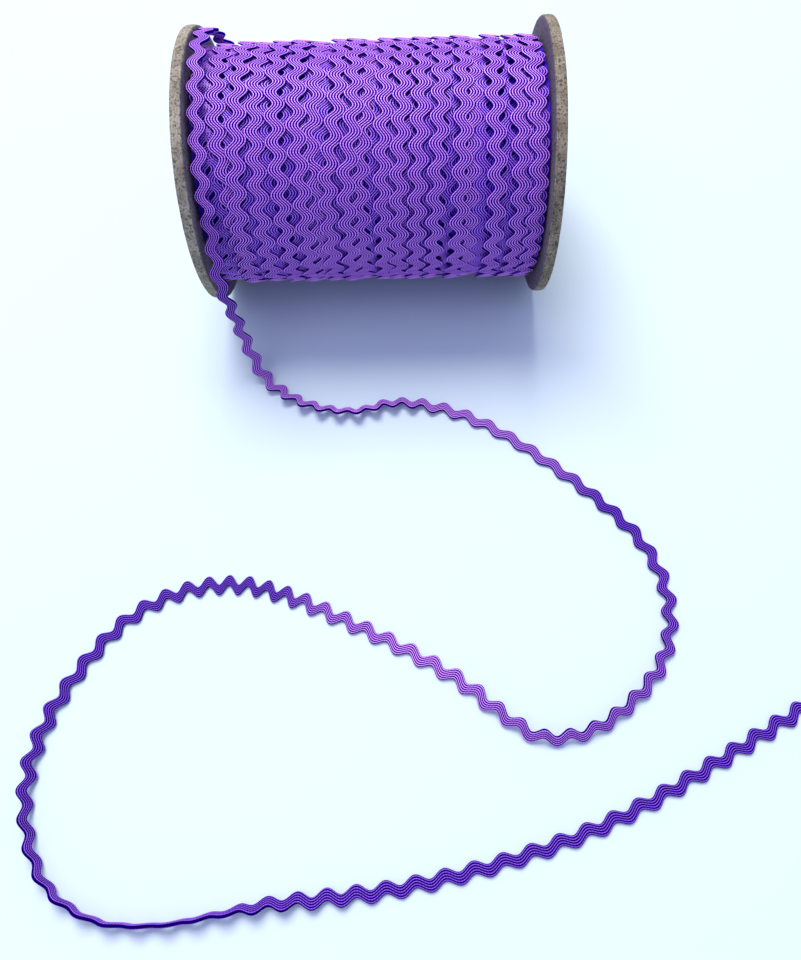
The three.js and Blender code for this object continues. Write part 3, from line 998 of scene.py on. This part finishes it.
@dataclass
class LooseBraid:
    """The last turn and the free end: one band along one smooth curve, as in the part's source."""

    braid: BraidTree
    # Steps to each wave, and points at which the curve is measured.
    steps: int = 20
    fine_steps: int = 4000
    # How deep the braid is grooved, as a share of its thickness, and steps across its face and its back.
    cord_depth: float = 0.4
    sides: tuple[int, int] = (20, 20)
    # The braid's overall width with its waves, in metres.
    overall: float = 0.0052
    # The free end is painted paler where it takes more light: where it leaves the roll and on stretches
    # further on.
    painted_light: tuple[tuple[float, float], ...] = (
        (0, 0.6), (15, 0.5), (17.5, 0.4), (20, 0.9), (26, 1.0), (33, 1.0), (36, 0.7), (39.5, 0.05), (44, 0.2),
        (48, 0.5), (53, 0.7), (58, 1.0), (61.5, 0.75), (65, 0.1), (76, 0.1), (86, 0.3), (92, 0.1), (113, 0.1),
    )

    def stops(self) -> tuple[np.ndarray, np.ndarray, np.ndarray, np.ndarray]:
        """Reads the route's stops.

        Returns:
            Their feet, facings, rolls and waves.
        """
        wound = np.array(LAST_TURN, float)
        up = outward(wound[:, 0])
        rest = AXIS_HEIGHT - lying_height(np.zeros(1), np.full(1, WOUND_WAVE))[0]
        shift = np.stack([wound[:, 2], 0 * wound[:, 2], 0 * wound[:, 2] + rest], -1)
        feet = up * (LYING_RADIUS + wound[:, 1:2]) + shift
        free = np.array(TAIL, float)
        facing = unit(np.stack([0 * free[:, 0], -free[:, 2], 0 * free[:, 0] + FACE_TURN], -1))
        rolls = np.radians(np.concatenate([np.zeros(len(wound)), free[:, 3]]))
        waves = np.concatenate([np.full(len(wound), WOUND_WAVE), free[:, 4]])
        return np.concatenate([feet, free[:, :3]]), np.concatenate([up, facing]), rolls, waves

    @staticmethod
    def curve(feet: np.ndarray, places: np.ndarray) -> np.ndarray:
        """Points of the centripetal spline through the feet.

        Args:
            feet: the stops.
            places: where, in stops from the first one.

        Returns:
            One point a place.
        """
        padded = np.concatenate([[2 * feet[0] - feet[1]], feet, [2 * feet[-1] - feet[-2]]])
        i = np.clip(places.astype(int), 0, len(feet) - 2)
        w = (places - i)[:, None]
        p0, p1, p2, p3 = (padded[i + k] for k in range(4))
        pairs = ((p0, p1), (p1, p2), (p2, p3))
        d0, d1, d2 = (np.linalg.norm(b - a, axis=1, keepdims=True) ** 0.5 for a, b in pairs)
        t1 = ((p1 - p0) / d0 - (p2 - p0) / (d0 + d1) + (p2 - p1) / d1) * d1
        t2 = ((p2 - p1) / d1 - (p3 - p1) / (d1 + d2) + (p3 - p2) / d2) * d1
        return p1 + t1 * w + (3 * (p2 - p1) - 2 * t1 - t2) * w**2 + (2 * (p1 - p2) + t1 + t2) * w**3

    def route(self) -> tuple[Route, int]:
        """The whole route and the step at which it leaves the roll.

        Returns:
            The route, and the number of its first free step.
        """
        feet, facings, rolls, waves = self.stops()
        fine = np.linspace(0, len(feet) - 1, self.fine_steps)
        lengths = np.linalg.norm(np.diff(self.curve(feet, fine), axis=0), axis=1)
        run = np.concatenate([[0], np.cumsum(lengths)])
        places, distance = [], 0.0
        while distance < run[-1]:
            place = float(np.interp(distance, run, fine))
            places.append(place)
            i = min(int(place), len(feet) - 2)
            distance += (waves[i] + (waves[i + 1] - waves[i]) * eased(place - i)) / self.steps
        places = np.array(places)
        i = np.clip(places.astype(int), 0, len(feet) - 2)
        share = eased(places - i)
        roll = rolls[i] + (rolls[i + 1] - rolls[i]) * share
        wave = waves[i] + (waves[i + 1] - waves[i]) * share
        middle = self.curve(feet, places)
        along = unit(np.gradient(middle, axis=0))
        middle[:, 2] = np.maximum(middle[:, 2], 0) + lying_height(roll, wave)
        up = facings[i] + (facings[i + 1] - facings[i]) * share[:, None]
        up = unit(up - along * np.sum(up * along, axis=1, keepdims=True))
        across = np.cross(along, up)
        cos, sin = np.cos(roll)[:, None], np.sin(roll)[:, None]
        across, up = across * cos + up * sin, up * cos - across * sin
        turns = np.arange(len(places)) / self.steps
        free = int(np.argmax(places >= len(LAST_TURN)))
        return Route(middle, along, across, up, turns, wave, wave_height(wave)), free

    def build(self) -> list[bpy.types.Object]:
        """Returns:
            The two finished pieces.
        """
        route, free = self.route()
        sizes = braid_sizes(BAND_WIDTH, BAND_THICKNESS, self.cord_depth, *self.sides)
        wound = DyedRayonWithPaintedLight("rayon_braid_loose", *VIOLET).material()
        # A darker copy of the braid's colours, painted shade for the free end lying on the table, which is the
        # same thread as on the roll; its pale colours are painted light.
        shades = ("#7440d0", "#280080", "#0c0054", "#f0a8ff", "#7430c8")
        lying = DyedRayonWithPaintedLight("rayon_braid_tail", *shades, gloss=0.2, painted_light=self.painted_light).material()
        last = self.braid.sweep("last_turn_braid", route.part(0, free + 1), wound, sizes)
        tail = self.braid.sweep("tail_braid", route.part(free, len(route.turns)), lying, sizes)
        for piece, node, slot in ((last, "last_turn", "ric_rac_loose"), (tail, "tail", "ric_rac_tail")):
            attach(piece, "root")
            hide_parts(node)
        return [last, tail]


@dataclass(frozen=True)
class Lamp:
    """A square soft light: its name, its place and side in metres, its power in watts and its colour."""

    name: str
    place: tuple[float, float, float]
    power: float
    size: float
    colour: str
    aim: tuple[float, float, float] = (0.0, -0.05, 0.02)

    def build(self) -> None:
        """Makes the light and turns it to the object."""
        data = bpy.data.lights.new(self.name, "AREA")
        data.energy = self.power
        data.size = self.size
        data.color = linear(self.colour)[:3]
        made = bpy.data.objects.new(self.name, data)
        bpy.context.scene.collection.objects.link(made)
        made.location = self.place
        way = Vector(self.aim) - Vector(self.place)
        made.rotation_euler = way.to_track_quat("-Z", "Y").to_euler()


@dataclass(frozen=True)
class Studio:
    """The camera of the picture, a pale table and soft light from over and behind the roll."""

    # The camera: its place in mm, its angles in degrees, and its lens and sensor in mm.
    place: tuple[float, float, float] = (9.8405, -185.2288, 221.6429)
    azimuth: float = -2.317
    elevation: float = 66.171
    roll: float = -3.251
    lens: float = 30.24
    sensor: float = 36.0
    nearest: float = 10.0
    # The table: half its side, and how far it lies under the object, in mm.
    table_half: float = 1500.0
    table_gap: float = 0.02
    # The even light of the room, and its lamps.
    sky: str = "#c8ceff"
    sky_strength: float = 0.80
    lamps: tuple[Lamp, ...] = (
        Lamp("window_behind", (-0.5, 1.6, 2.98), 156.0, 1.9, "#fff8f4"),
        Lamp("ceiling", (-0.5, -0.35, 1.3), 3.5, 0.8, "#e6dcff"),
    )

    def camera(self) -> None:
        """Makes the camera and sets it as the scene's own."""
        azimuth, elevation, roll = (math.radians(v) for v in (self.azimuth, self.elevation, self.roll))
        flat = math.cos(elevation)
        ahead = Vector((math.sin(azimuth) * flat, math.cos(azimuth) * flat, -math.sin(elevation)))
        level = Vector((math.cos(azimuth), -math.sin(azimuth), 0))
        rise = level.cross(ahead)
        right = level * math.cos(roll) + rise * math.sin(roll)
        upward = rise * math.cos(roll) - level * math.sin(roll)
        data = bpy.data.cameras.new("picture_camera")
        data.lens = self.lens
        data.sensor_width = self.sensor
        data.clip_start = self.nearest * MM
        made = bpy.data.objects.new("picture_camera", data)
        bpy.context.scene.collection.objects.link(made)
        turned = Matrix((right, upward, -ahead)).transposed().to_4x4()
        made.matrix_world = Matrix.Translation(Vector(self.place) * MM) @ turned
        bpy.context.scene.camera = made

    def floor(self) -> None:
        """Makes the table, which is no part of the object."""
        signs = np.array([(-1, -1), (1, -1), (1, 1), (-1, 1)])
        corners = np.column_stack([signs * self.table_half, np.full(4, -self.table_gap)])
        piece = mesh_object("table_top", corners * MM, [(0, 1, 2, 3)])
        piece.data.materials.append(PaleTable().material())

    def light(self) -> None:
        """Makes the room's even light and its lamps."""
        world = bpy.data.worlds.new("soft_room")
        world.use_nodes = True
        background = world.node_tree.nodes["Background"]
        background.inputs["Color"].default_value = linear(self.sky)
        background.inputs["Strength"].default_value = self.sky_strength
        bpy.context.scene.world = world
        for lamp in self.lamps:
            lamp.build()
        bpy.context.scene.view_settings.view_transform = "Standard"


def main() -> None:
    """Builds the camera, the loose braid, the roll and the light in that order."""
    logging.basicConfig(level=logging.INFO, format="%(name)s: %(message)s")
    studio = Studio()
    studio.camera()
    braid = BraidTree()
    LooseBraid(braid).build()
    grey = GreyBoard("greyboard_left", "#aaa48f", "#86806d", "#3e3a32", seed=0.0)
    tan = GreyBoard("greyboard_right", "#948c76", "#726956", "#302a20", seed=0.3)
    Flange(Side.LEFT, grey, seed=11).build()
    Flange(Side.RIGHT, tan, seed=12).build()
    Winding(braid).build()
    studio.floor()
    studio.light()


if __name__ == "__main__":
    main()
